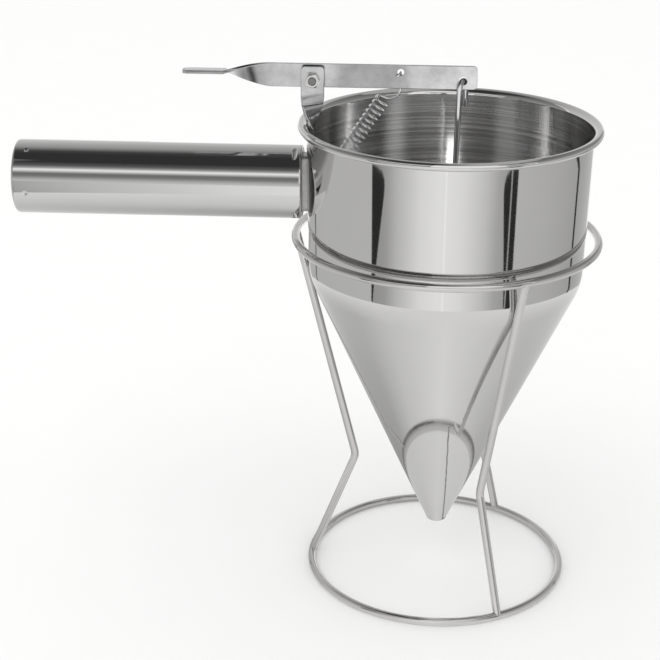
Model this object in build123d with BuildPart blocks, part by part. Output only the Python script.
"""Batter dispenser: a sheet steel funnel with a tube handle, a thumb lever and a wire stand.

Millimetres, +Z up. The origin is on the table, at the centre of the stand. The handle runs along -X.
"""

import os
from math import atan, cos, pi, radians, sin, sqrt, tan

from build123d import *

os.makedirs("parts", exist_ok=True)

# Stand: two wire rings joined by three bent legs
STAND_WIRE = 3.6
BASE_RING_RADIUS = 58.4
BASE_FLAT = 0.3
TOP_RING_GAP = 4.0
TOP_RING_HEIGHT = 162.5
WAIST_RADIUS = 38.4
WAIST_HEIGHT = 53.4
WAIST_BEND = 8.0
FIRST_LEG_ANGLE = 178.0
WELD_GAP = 0.05

# Funnel: tapered wall, rounded shoulder and cone, pressed from one thickness of sheet
SHEET = 0.8
WALL_RADIUS = 60.4
WALL_TAPER = 1.04
WALL_HEIGHT = 64.8
SHOULDER_RADIUS = 25.0
SEAM_RISE = 8.0
CONE_HEIGHT = 123.3
OUTLET_RADIUS = 4.4
OUTLET_EDGE = 0.3
RIM_FLARE = 2.4
RIM_FLARE_ANGLE = 75.0
RIM_CURL = 0.9
RIM_CURL_ANGLE = 195.0
SEAT_CLEARANCE = 0.2

# Handle: plain tube, its end cap and the saddle that plugs it and fits it to the wall
TUBE_DIAMETER = 32.0
TUBE_WALL = 1.0
HANDLE_RISE = 39.9
HANDLE_REACH = 188.0
TUBE_EDGE = 0.7
SADDLE_LEAST = 1.6
SADDLE_WIDTH = 10.0
SADDLE_HEIGHT = 25.0
SADDLE_CORNER = 2.0
SADDLE_PLUG = 1.5
CAP_THICKNESS = 1.4
CAP_EDGE = 1.0
CAP_SKIRT = 8.0
CAP_INSET = 0.1
CAP_CLEARANCE = 0.05
DENT_COUNT = 5
DENT_START = 240.5
DENT_DEPTH = 0.35
DENT_BALL = 1.8
DENT_INSET = 4.5
CRIMP_COUNT = 3
CRIMP_START = 245.0
CRIMP_DEPTH = 0.6
CRIMP_WHEEL = 60.0
CRIMP_EDGE = 1.4
CRIMP_INSET = 3.2

# Post: strip with a quarter twist, riveted inside the wall
STRIP = 1.5
POST_WIDTH = 10.0
POST_CORNER = 1.5
POST_TOP = 5.5
POST_TWIST = 15.5
POST_TWIST_BELOW_RIM = 0.4
POST_FOOT = 12.0
POST_CLEARANCE = 0.1
LUG_REACH = 6.5
LUG_HALF_HEIGHT = 3.2
RIVET_RADIUS = 1.5
RIVET_HEAD_RADIUS = 2.6
RIVET_HEAD = 1.2
RIVET_SPACING = 14.0
RIVET_CLEARANCE = 0.05

# Lever: strip on edge, twisted at the handle end into a flat paddle
PIVOT_RISE = 17.1
LEVER_HEIGHT = 10.2
LEVER_BELOW_PIVOT = 3.8
LEVER_CORNER = 1.8
LEVER_NOSE = 6.0
LEVER_SIDE = 3.0
PIVOT_TO_TWIST = 18.0
LEVER_TWIST = 20.0
LEVER_TWIST_ANGLE = 84.5
PADDLE_LENGTH = 17.7
PADDLE_RISE = 1.0
PADDLE_CORNER = 3.5
TWIST_STEPS = 6
SPRING_HOLE_REACH = 37.4
SPRING_HOLE_RISE = 3.3
SPRING_HOLE_RADIUS = 1.45

# Pivot: bolt, washer and nut
BOLT_DIAMETER = 3.0
BOLT_HEAD_RADIUS = 2.75
BOLT_HEAD = 2.0
BOLT_END = 0.2
NUT_FLATS = 5.5
NUT_HEIGHT = 2.4
NUT_CHAMFER = 0.35
WASHER_RADIUS = 3.4
WASHER_THICKNESS = 0.5
PIVOT_CLEARANCE = 0.05
BOLT_CLEARANCE = 0.02
SIDE_CLEARANCE = 0.1

# Pull rod and stopper
ROD_DIAMETER = 2.5
ROD_OFFSET = 4.9
HOOK_TURN = 25.0
HOOK_CLEARANCE = 0.6
ROD_TAIL = 8.5
ROD_SOCKET = 8.0
STOPPER_RADIUS = 7.0
STOPPER_INSET = 0.6
STOPPER_CLEARANCE = 0.15
STOPPER_TAPER = 5.0
STOPPER_NECK = 3.2
STOPPER_NECK_HEIGHT = 4.0
SOCKET_CLEARANCE = 0.02

# Return spring
SPRING_WIRE = 0.9
COIL_RADIUS = 3.05
COIL_TURNS = 15.5
COIL_START_LEFT = 7.3
COIL_START_DROP = 11.8
COIL_END_RIGHT = 4.3
COIL_END_RISE = 6.4
SPRING_HOOK = 2.2
SPRING_TAIL = 2.6
SPRING_LEG_BELOW = 0.9
LUG_HOLE_INSET = 3.9
LUG_HOLE_RISE = -2.0

# Stand geometry
wire_radius = STAND_WIRE / 2
top_ring_radius = WALL_RADIUS + TOP_RING_GAP + wire_radius
base_ring_height = wire_radius - BASE_FLAT
leg_lean = atan((top_ring_radius - WAIST_RADIUS) / (TOP_RING_HEIGHT - WAIST_HEIGHT))

# The rounded shoulder rests on the legs, and that sets the height of the funnel
cone_slope = atan((WALL_RADIUS - OUTLET_RADIUS) / CONE_HEIGHT)
wall_slope = radians(WALL_TAPER)
mean_slope = (cone_slope + wall_slope) / 2
shoulder_depth = SHOULDER_RADIUS / cos((cone_slope - wall_slope) / 2)
seat_reach = SHOULDER_RADIUS + SEAT_CLEARANCE + wire_radius
shoulder_centre_radius = WALL_RADIUS - shoulder_depth * cos(mean_slope)
seat_run = (top_ring_radius - shoulder_centre_radius) * cos(leg_lean)
shoulder_centre_height = TOP_RING_HEIGHT + (seat_reach - seat_run) / sin(leg_lean)
shoulder = shoulder_centre_height - shoulder_depth * sin(mean_slope)
outlet = shoulder - CONE_HEIGHT
seam = shoulder + SEAM_RISE
rim_foot = shoulder + WALL_HEIGHT


def wall_outside(height):
    """Outer radius of the funnel wall at a height."""
    return WALL_RADIUS + (height - shoulder) * tan(wall_slope)


def cone_outside(height):
    """Outer radius of the cone at a height."""
    return OUTLET_RADIUS + (height - outlet) * tan(cone_slope)


wall_depth = SHEET / cos(wall_slope)
cone_depth = SHEET / cos(cone_slope)
inner_shoulder = shoulder + (cone_depth - wall_depth) / (tan(cone_slope) - tan(wall_slope))
rim_top = (
    rim_foot
    + RIM_FLARE * sin(radians(RIM_FLARE_ANGLE) + wall_slope)
    - RIM_CURL * sin(radians(RIM_FLARE_ANGLE) + wall_slope)
    + RIM_CURL
    + SHEET
)

# Handle geometry
handle_height = shoulder + HANDLE_RISE
tube_radius = TUBE_DIAMETER / 2
tube_start = -wall_outside(handle_height + tube_radius) - SADDLE_LEAST
plug_face = tube_start - SADDLE_PLUG
tube_end = -HANDLE_REACH + CAP_THICKNESS

# Post and lever geometry
post_foot = handle_height - POST_FOOT
foot_radius = wall_outside(post_foot) - wall_depth
post_outside = -sqrt(foot_radius**2 - (POST_WIDTH / 2) ** 2) + POST_CLEARANCE
post_middle = post_outside + STRIP / 2
post_inside = post_outside + STRIP
pivot_height = rim_top + PIVOT_RISE
twist_bottom = rim_foot - POST_TWIST_BELOW_RIM
twist_top = twist_bottom + POST_TWIST
post_top = pivot_height + POST_TOP
lever_middle = pivot_height - LEVER_BELOW_PIVOT + LEVER_HEIGHT / 2
lever_bottom = pivot_height - LEVER_BELOW_PIVOT
lever_twist_start = post_middle - PIVOT_TO_TWIST
paddle_start = lever_twist_start - LEVER_TWIST
rod_hole_radius = ROD_DIAMETER / 2 + HOOK_CLEARANCE

# Points the spring is hooked to
lever_hole = Vector(post_middle + SPRING_HOLE_REACH, LEVER_SIDE, pivot_height + SPRING_HOLE_RISE)
lug_side = (POST_WIDTH - STRIP) / 2
lug_hole = Vector(post_inside + LUG_HOLE_INSET, lug_side, handle_height + LUG_HOLE_RISE)


def save(part, name):
    """Label one piece and write it to its own file."""
    part.label = name
    export_step(part, f"parts/{name}.step")


def radial_plane(angle):
    """Upright plane through the Z axis: local X points outward, local Y points up."""
    turn = radians(angle)
    return Plane(origin=(0, 0, 0), x_dir=(cos(turn), sin(turn), 0), z_dir=(sin(turn), -cos(turn), 0))


def handle_plane(x, direction=-1):
    """Plane across the handle axis, facing -X or +X."""
    return Plane(origin=(x, 0, handle_height), x_dir=(0, 1, 0), z_dir=(direction, 0, 0))


# Stand rings
with BuildPart() as stand_top_ring:
    with BuildSketch(Plane.XZ):
        with Locations((top_ring_radius, TOP_RING_HEIGHT)):
            Circle(wire_radius)
    revolve(axis=Axis.Z)
save(stand_top_ring.part, "stand_top_ring")

with BuildPart() as stand_base_ring:
    with BuildSketch(Plane.XZ):
        with Locations((BASE_RING_RADIUS, base_ring_height)):
            Circle(wire_radius)
    revolve(axis=Axis.Z)
    split(bisect_by=Plane.XY, keep=Keep.TOP)
save(stand_base_ring.part, "stand_base_ring")

# Stand legs, each hollowed at both ends to sit on the rings
leg_names = ["stand_leg_handle_side", "stand_leg_front", "stand_leg_back"]
for number, leg_name in enumerate(leg_names):
    leg_plane = radial_plane(FIRST_LEG_ANGLE + number * 360 / len(leg_names))
    with BuildPart() as stand_leg:
        with BuildLine(leg_plane) as leg_line:
            FilletPolyline(
                (top_ring_radius, TOP_RING_HEIGHT),
                (WAIST_RADIUS, WAIST_HEIGHT),
                (BASE_RING_RADIUS, base_ring_height),
                radius=WAIST_BEND,
            )
        with BuildSketch(Plane(origin=leg_line.line @ 0, z_dir=leg_line.line % 0)):
            Circle(wire_radius)
        sweep()
        with Locations((0, 0, TOP_RING_HEIGHT)):
            Torus(top_ring_radius, wire_radius + WELD_GAP, mode=Mode.SUBTRACT)
        with Locations((0, 0, base_ring_height)):
            Torus(BASE_RING_RADIUS, wire_radius + WELD_GAP, mode=Mode.SUBTRACT)
    save(stand_leg.part, leg_name)

# Rivet places on the wall, shared by the post, the wall and the saddle
rivet_heights = [handle_height - RIVET_SPACING / 2, handle_height + RIVET_SPACING / 2]
rivet_places = [(0, height) for height in rivet_heights]
rivet_plane = Plane(origin=(plug_face, 0, 0), x_dir=(0, 1, 0), z_dir=(1, 0, 0))

# Funnel wall with its flared and curled rim
with BuildPart() as funnel_bowl:
    with BuildSketch(Plane.XZ):
        with BuildLine():
            outside = Line((wall_outside(seam), seam), (wall_outside(rim_foot), rim_foot))
            flare = JernArc(outside @ 1, outside % 1, RIM_FLARE, -RIM_FLARE_ANGLE)
            curl = JernArc(flare @ 1, flare % 1, RIM_CURL, -RIM_CURL_ANGLE)
            offset(amount=SHEET, side=Side.LEFT)
        make_face()
    revolve(axis=Axis.Z)
    with BuildSketch(rivet_plane):
        with Locations(*rivet_places):
            Circle(RIVET_RADIUS + RIVET_CLEARANCE)
    extrude(amount=TUBE_DIAMETER, mode=Mode.SUBTRACT)
save(funnel_bowl.part, "funnel_bowl")

# Funnel cone with its rounded shoulder and open outlet
with BuildPart() as funnel_cone:
    with BuildSketch(Plane.XZ) as cone_section:
        with BuildLine():
            Polyline(
                (wall_outside(seam), seam),
                (WALL_RADIUS, shoulder),
                (OUTLET_RADIUS, outlet),
                (OUTLET_RADIUS - cone_depth, outlet),
                (wall_outside(inner_shoulder) - wall_depth, inner_shoulder),
                (wall_outside(seam) - wall_depth, seam),
                close=True,
            )
        make_face()
        corners = cone_section.vertices()
        fillet(corners.sort_by_distance((WALL_RADIUS, shoulder))[0], SHOULDER_RADIUS)
        inner_corner = (wall_outside(inner_shoulder) - wall_depth, inner_shoulder)
        fillet(corners.sort_by_distance(inner_corner)[0], SHOULDER_RADIUS - SHEET)
        fillet(cone_section.vertices().sort_by_distance((OUTLET_RADIUS, outlet))[0], OUTLET_EDGE)
    revolve(axis=Axis.Z)
save(funnel_cone.part, "funnel_cone")

# Handle tube, with the dents that hold its end cap and the crimps at the wall
with BuildPart() as handle_tube:
    with BuildSketch(handle_plane(tube_start)):
        Circle(tube_radius)
        Circle(tube_radius - TUBE_WALL, mode=Mode.SUBTRACT)
    extrude(amount=tube_start - tube_end)
    fillet(handle_tube.edges().group_by(Axis.X)[-1].sort_by(SortBy.RADIUS)[-1], TUBE_EDGE)
    with Locations(handle_plane(tube_end + DENT_INSET)):
        with PolarLocations(tube_radius - DENT_DEPTH + DENT_BALL, DENT_COUNT, DENT_START):
            Sphere(DENT_BALL, mode=Mode.SUBTRACT)
    with Locations(handle_plane(tube_start - CRIMP_INSET)):
        with PolarLocations(tube_radius - CRIMP_DEPTH + CRIMP_WHEEL, CRIMP_COUNT, CRIMP_START):
            Torus(CRIMP_WHEEL - CRIMP_EDGE, CRIMP_EDGE, mode=Mode.SUBTRACT)
save(handle_tube.part, "handle_tube")

# End cap with a skirt that plugs the tube
cap_radius = tube_radius - TUBE_WALL - CAP_CLEARANCE
with BuildPart() as handle_end_cap:
    with BuildSketch(handle_plane(tube_end)):
        Circle(tube_radius - CAP_INSET)
    extrude(amount=CAP_THICKNESS)
    fillet(handle_end_cap.faces().sort_by(Axis.X)[0].edges(), CAP_EDGE)
    with BuildSketch(handle_plane(tube_end, direction=1)):
        Circle(cap_radius)
        Circle(cap_radius - TUBE_WALL, mode=Mode.SUBTRACT)
    extrude(amount=CAP_SKIRT)
save(handle_end_cap.part, "handle_end_cap")

# Saddle: a plug in the end of the tube, with a pad that is shaped to the wall
with BuildPart() as handle_saddle:
    with BuildSketch(handle_plane(plug_face, direction=1)):
        Circle(cap_radius)
    extrude(amount=SADDLE_PLUG)
    with BuildSketch(handle_plane(tube_start, direction=1)):
        RectangleRounded(SADDLE_WIDTH, SADDLE_HEIGHT, SADDLE_CORNER)
    extrude(amount=TUBE_DIAMETER)
    with BuildSketch(Plane.XZ):
        low = handle_height - TUBE_DIAMETER
        high = handle_height + TUBE_DIAMETER
        Polygon(
            (0, low),
            (wall_outside(low) + WELD_GAP, low),
            (wall_outside(high) + WELD_GAP, high),
            (0, high),
            align=None,
        )
    revolve(axis=Axis.Z, mode=Mode.SUBTRACT)
    with BuildSketch(rivet_plane):
        with Locations(*rivet_places):
            Circle(RIVET_RADIUS + RIVET_CLEARANCE)
    extrude(amount=TUBE_DIAMETER, mode=Mode.SUBTRACT)
save(handle_saddle.part, "handle_saddle")

# Lever post: flat top, quarter twist, and a foot on the inner wall with a lug for the spring
with BuildPart() as lever_post:
    with BuildSketch(Plane.XZ) as post_face:
        with Locations((post_middle, twist_top)):
            Rectangle(POST_WIDTH, post_top - twist_top, align=(Align.CENTER, Align.MIN))
        fillet(post_face.vertices().group_by(Axis.Y)[-1], POST_CORNER)
        with Locations((post_middle, pivot_height)):
            Circle(BOLT_DIAMETER / 2 + BOLT_CLEARANCE, mode=Mode.SUBTRACT)
    extrude(amount=STRIP / 2, both=True)
    for step in range(TWIST_STEPS + 1):
        share = step / TWIST_STEPS
        with BuildSketch(Plane.XY.offset(twist_top - share * POST_TWIST)):
            with Locations((post_middle, 0)):
                Rectangle(POST_WIDTH, STRIP, rotation=90 * share)
    loft()
    with BuildSketch(Plane(origin=(post_outside, 0, 0), x_dir=(0, 1, 0), z_dir=(1, 0, 0))):
        with Locations((0, post_foot)):
            Rectangle(POST_WIDTH, twist_bottom - post_foot, align=(Align.CENTER, Align.MIN))
        with Locations(*rivet_places):
            Circle(RIVET_RADIUS + RIVET_CLEARANCE, mode=Mode.SUBTRACT)
    extrude(amount=STRIP)
    with BuildSketch(Plane.XZ.offset(-lug_side)) as lug_face:
        with Locations((post_inside, lug_hole.Z)):
            Rectangle(LUG_REACH, 2 * LUG_HALF_HEIGHT, align=(Align.MIN, Align.CENTER))
        fillet(lug_face.vertices().group_by(Axis.X)[-1], POST_CORNER)
        with Locations((lug_hole.X, lug_hole.Z)):
            Circle(SPRING_HOLE_RADIUS, mode=Mode.SUBTRACT)
    extrude(amount=STRIP / 2, both=True)
save(lever_post.part, "lever_post")

# Rivets through the post, the wall and the saddle
with BuildPart() as post_rivets:
    for height in rivet_heights:
        with BuildSketch(Plane(origin=(plug_face, 0, height), x_dir=(0, 1, 0), z_dir=(1, 0, 0))):
            Circle(RIVET_RADIUS)
        extrude(amount=post_inside - plug_face)
        for face, direction in ((plug_face, -1), (post_inside, 1)):
            with BuildSketch(Plane(origin=(face, 0, height), x_dir=(0, 1, 0), z_dir=(direction, 0, 0))):
                Circle(RIVET_HEAD_RADIUS)
            extrude(amount=RIVET_HEAD, taper=35)
save(post_rivets.part, "post_rivets")

# Lever: edge-on strip with three holes, quarter twist and thumb paddle
lever_plane = Plane.XZ.offset(-LEVER_SIDE)
with BuildPart() as lever:
    with BuildSketch(lever_plane) as lever_face:
        with Locations((lever_twist_start, lever_middle)):
            strip_length = ROD_OFFSET + LEVER_NOSE - lever_twist_start
            Rectangle(strip_length, LEVER_HEIGHT, align=(Align.MIN, Align.CENTER))
        fillet(lever_face.vertices().group_by(Axis.X)[-1], LEVER_CORNER)
        with Locations((post_middle, pivot_height)):
            Circle(BOLT_DIAMETER / 2 + PIVOT_CLEARANCE, mode=Mode.SUBTRACT)
        with Locations((lever_hole.X, lever_hole.Z)):
            Circle(SPRING_HOLE_RADIUS, mode=Mode.SUBTRACT)
        with Locations((ROD_OFFSET, pivot_height)):
            Circle(rod_hole_radius, mode=Mode.SUBTRACT)
    extrude(amount=STRIP / 2, both=True)
    for step in range(TWIST_STEPS + 1):
        share = step / TWIST_STEPS
        section_x = lever_twist_start - share * LEVER_TWIST
        section_centre = (section_x, LEVER_SIDE, lever_middle + share * PADDLE_RISE)
        with BuildSketch(Plane(origin=section_centre, x_dir=(0, 1, 0), z_dir=(1, 0, 0))):
            Rectangle(STRIP, LEVER_HEIGHT, rotation=LEVER_TWIST_ANGLE * share)
    loft()
    tilt = radians(LEVER_TWIST_ANGLE)
    paddle_origin = (paddle_start, LEVER_SIDE, lever_middle + PADDLE_RISE)
    paddle_plane = Plane(origin=paddle_origin, x_dir=(-1, 0, 0), z_dir=(0, cos(tilt), sin(tilt)))
    with BuildSketch(paddle_plane) as paddle:
        Rectangle(PADDLE_LENGTH, LEVER_HEIGHT, align=(Align.MIN, Align.CENTER))
        fillet(paddle.vertices().group_by(Axis.X)[0], PADDLE_CORNER)
    extrude(amount=STRIP / 2, both=True)
save(lever.part, "lever")

# Pivot bolt from behind, then spacer, washer and nut
pivot_plane = Plane(origin=(post_middle, 0, pivot_height), x_dir=(1, 0, 0), z_dir=(0, -1, 0))
spacer_thickness = LEVER_SIDE - STRIP - SIDE_CLEARANCE
bolt_back = -(LEVER_SIDE + STRIP / 2 + SIDE_CLEARANCE)
washer_back = STRIP / 2
nut_back = washer_back + WASHER_THICKNESS
nut_front = nut_back + NUT_HEIGHT
bolt_radius = BOLT_DIAMETER / 2

with BuildPart() as pivot_bolt:
    with BuildSketch(pivot_plane.offset(bolt_back)):
        Circle(bolt_radius)
    extrude(amount=nut_front - BOLT_END - bolt_back)
    with BuildSketch(pivot_plane.offset(bolt_back)):
        Circle(BOLT_HEAD_RADIUS)
    extrude(amount=-BOLT_HEAD)
    fillet(pivot_bolt.faces().sort_by(Axis.Y)[-1].edges(), BOLT_HEAD / 2)
save(pivot_bolt.part, "pivot_bolt")

with BuildPart() as pivot_spacer:
    with BuildSketch(pivot_plane.offset(-washer_back)):
        Circle(WASHER_RADIUS)
        Circle(bolt_radius + BOLT_CLEARANCE, mode=Mode.SUBTRACT)
    extrude(amount=-spacer_thickness)
save(pivot_spacer.part, "pivot_spacer")

with BuildPart() as pivot_washer:
    with BuildSketch(pivot_plane.offset(washer_back)):
        Circle(WASHER_RADIUS)
        Circle(bolt_radius + BOLT_CLEARANCE, mode=Mode.SUBTRACT)
    extrude(amount=WASHER_THICKNESS)
save(pivot_washer.part, "pivot_washer")

with BuildPart() as pivot_nut:
    with BuildSketch(pivot_plane.offset(nut_back)):
        RegularPolygon(NUT_FLATS / 2, 6, major_radius=False)
    extrude(amount=NUT_HEIGHT)
    with BuildSketch(pivot_plane.offset(nut_front)):
        Circle(NUT_FLATS / 2 - NUT_CHAMFER / 2)
    extrude(amount=-NUT_HEIGHT, taper=-60, mode=Mode.INTERSECT)
    with BuildSketch(pivot_plane.offset(nut_back)):
        Circle(bolt_radius + BOLT_CLEARANCE)
    extrude(amount=NUT_HEIGHT, mode=Mode.SUBTRACT)
    bore_edge = pivot_nut.faces().sort_by(Axis.Y)[0].edges().sort_by(SortBy.LENGTH)[0]
    chamfer(bore_edge, NUT_CHAMFER)
save(pivot_nut.part, "pivot_nut")

# Stopper seat in the cone, just above the outlet
stopper_bottom = outlet + STOPPER_INSET
stopper_shrink = cone_depth + STOPPER_CLEARANCE / cos(cone_slope)
stopper_widest = outlet + (STOPPER_RADIUS + stopper_shrink - OUTLET_RADIUS) / tan(cone_slope)
neck_bottom = stopper_widest + STOPPER_TAPER
stopper_top = neck_bottom + STOPPER_NECK_HEIGHT

# The rod leans from its turned hook in the lever hole to the middle of the stopper
hook_turn = radians(HOOK_TURN)
hook_radius = LEVER_SIDE / cos(hook_turn)
rod_hole = Vector(ROD_OFFSET, LEVER_SIDE, pivot_height)
rod_heading = Vector(ROD_OFFSET - LEVER_SIDE * tan(hook_turn), 0, pivot_height - neck_bottom).normalized()
socket_bottom = Vector(0, 0, neck_bottom) - rod_heading * (ROD_SOCKET - STOPPER_NECK_HEIGHT)
hook_across = Vector(0, cos(hook_turn), 0) + Vector(rod_heading.Z, 0, -rod_heading.X) * sin(hook_turn)
hook_front = rod_hole - (rod_heading + hook_across) * hook_radius
hook_back = hook_front + hook_across * (2 * hook_radius)
rod_plane = Plane(origin=socket_bottom, z_dir=rod_heading)

with BuildPart() as pull_rod:
    with BuildLine() as rod_line:
        Line(socket_bottom, hook_front)
        ThreePointArc(hook_front, rod_hole, hook_back)
        Line(hook_back, hook_back - rod_heading * ROD_TAIL)
    with BuildSketch(rod_plane):
        Circle(ROD_DIAMETER / 2)
    sweep()
save(pull_rod.part, "pull_rod")

with BuildPart() as rod_stopper:
    with BuildSketch(Plane.XZ):
        Polygon(
            (0, stopper_bottom),
            (cone_outside(stopper_bottom) - stopper_shrink, stopper_bottom),
            (STOPPER_RADIUS, stopper_widest),
            (STOPPER_NECK, neck_bottom),
            (STOPPER_NECK, stopper_top),
            (0, stopper_top),
            align=None,
        )
    revolve(axis=Axis.Z)
    with BuildSketch(rod_plane):
        Circle(ROD_DIAMETER / 2 + SOCKET_CLEARANCE)
    extrude(amount=2 * ROD_SOCKET, mode=Mode.SUBTRACT)
save(rod_stopper.part, "rod_stopper")

# Return spring: a hook through the lever, a bend, the coil, a bend and a hook through the lug
side = Vector(0, 1, 0)
down = Vector(0, 0, -1)
coil_start = lever_hole + Vector(-COIL_START_LEFT, 0, -COIL_START_DROP)
coil_end = lug_hole + Vector(COIL_END_RIGHT, 0, COIL_END_RISE)
coil_heading = (coil_end - coil_start).normalized()
coil_across = coil_heading.cross(side).normalized()
coil_behind = coil_across.cross(coil_heading)
coil_length = (coil_end - coil_start).length
coil_pitch = coil_length / COIL_TURNS
coil_rise = atan(coil_pitch / (2 * pi * COIL_RADIUS))


def coil_station(turns):
    """Point and heading of the wire after a number of turns from the upper end of the coil."""
    angle = 2 * pi * turns
    outward = coil_behind * cos(angle) - coil_across * sin(angle)
    around = coil_behind * -sin(angle) - coil_across * cos(angle)
    point = coil_start + coil_heading * (coil_pitch * turns) + outward * COIL_RADIUS
    return point, around * cos(coil_rise) + coil_heading * sin(coil_rise)


tail_heading = Vector(1, 0, 1).normalized()
leg_top = lever_hole + side * SPRING_HOOK + down * SPRING_HOOK
leg_bottom = Vector(lever_hole.X, leg_top.Y, lever_bottom - SPRING_LEG_BELOW)
lug_leg = lug_hole - coil_heading * SPRING_HOOK - side * SPRING_HOOK
lug_tail = lug_hole - coil_heading * SPRING_HOOK + side * SPRING_HOOK

stations = [
    (lever_hole - side * SPRING_HOOK - tail_heading * SPRING_TAIL, tail_heading),
    (lever_hole, side),
    (leg_top, down),
    (leg_bottom, down),
]
stations += [coil_station(half / 2) for half in range(round(2 * COIL_TURNS) + 1)]
stations += [
    (lug_leg, coil_heading),
    (lug_hole, side),
    (lug_tail, -coil_heading),
    (lug_tail - coil_heading * SPRING_TAIL, -coil_heading),
]


def draw_biarc(start, heading, end, end_heading):
    """Join two points and headings by two arcs that meet tangentially, or by a line if they are in line."""
    chord = end - start
    both = heading + end_heading
    spread = 4 - both.dot(both)
    if spread < 1e-9:
        Line(start, end)
        return
    along = chord.dot(both)
    reach = (sqrt(along**2 + spread * chord.dot(chord)) - along) / spread
    first_corner = start + heading * reach
    second_corner = end - end_heading * reach
    joint = (first_corner + second_corner) / 2
    TangentArc(start, joint, tangent=heading)
    TangentArc(joint, end, tangent=second_corner - first_corner)


with BuildPart() as return_spring:
    with BuildLine() as spring_line:
        for here, there in zip(stations, stations[1:]):
            draw_biarc(*here, *there)
    with BuildSketch(Plane(origin=stations[0][0], z_dir=stations[0][1])):
        Circle(SPRING_WIRE / 2)
    sweep()
save(return_spring.part, "return_spring")

# Least gap of the spring to itself, on points along the wire
spring_edges = spring_line.line.edges()
point_step = SPRING_WIRE / 3
wire_points = []
travelled = 0
for edge in spring_edges:
    count = max(2, round(edge.length / point_step))
    for number in range(count):
        share = number / count
        wire_points.append((travelled + share * edge.length, *(edge @ share)))
    travelled += edge.length
least_gap = travelled
for number, (run, x, y, z) in enumerate(wire_points):
    for other_run, other_x, other_y, other_z in wire_points[number + 1 :]:
        if other_run - run > 5 * SPRING_WIRE:
            distance = sqrt((other_x - x) ** 2 + (other_y - y) ** 2 + (other_z - z) ** 2)
            least_gap = min(least_gap, distance - SPRING_WIRE)
bend_radii = [edge.radius for edge in spring_edges if edge.geom_type == GeomType.CIRCLE]
print(f"spring: pitch {coil_pitch:.2f}, least gap {least_gap:.2f}, tightest bend {min(bend_radii):.2f}")
print(f"funnel: shoulder {shoulder:.2f}, outlet {outlet:.2f}, rim top {rim_top:.2f}")
